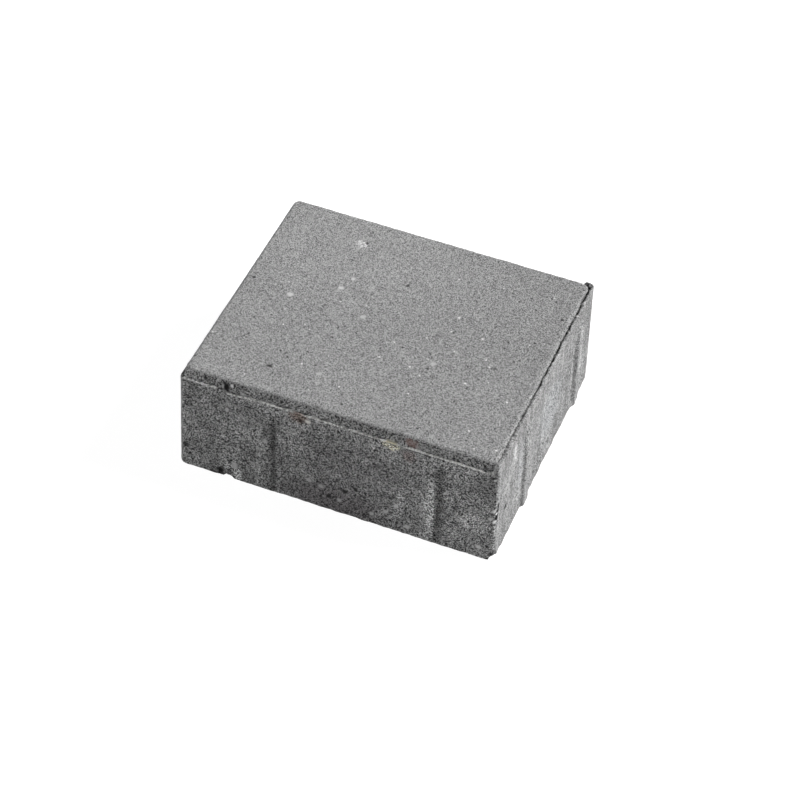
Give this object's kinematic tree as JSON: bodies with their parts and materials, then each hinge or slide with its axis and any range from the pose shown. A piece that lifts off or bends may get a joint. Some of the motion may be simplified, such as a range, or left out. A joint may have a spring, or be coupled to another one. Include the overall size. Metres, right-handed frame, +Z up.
{
  "type": "concrete paving stone",
  "caption": "Rectangular pressed concrete paving stone with a bevelled rim and upright spacer ribs on its sides, laid on a bed of grit.",
  "frame": {"origin": "centre of the bedding face", "axes": "+X along the long side, +Y along the short side, +Z up towards the walking surface"},
  "size_m": [0.21, 0.179, 0.08],
  "materials": {
    "concrete": "matte"
  },
  "bodies": {
    "root": {"paving_stone": "concrete"}
  },
  "joints": []
}
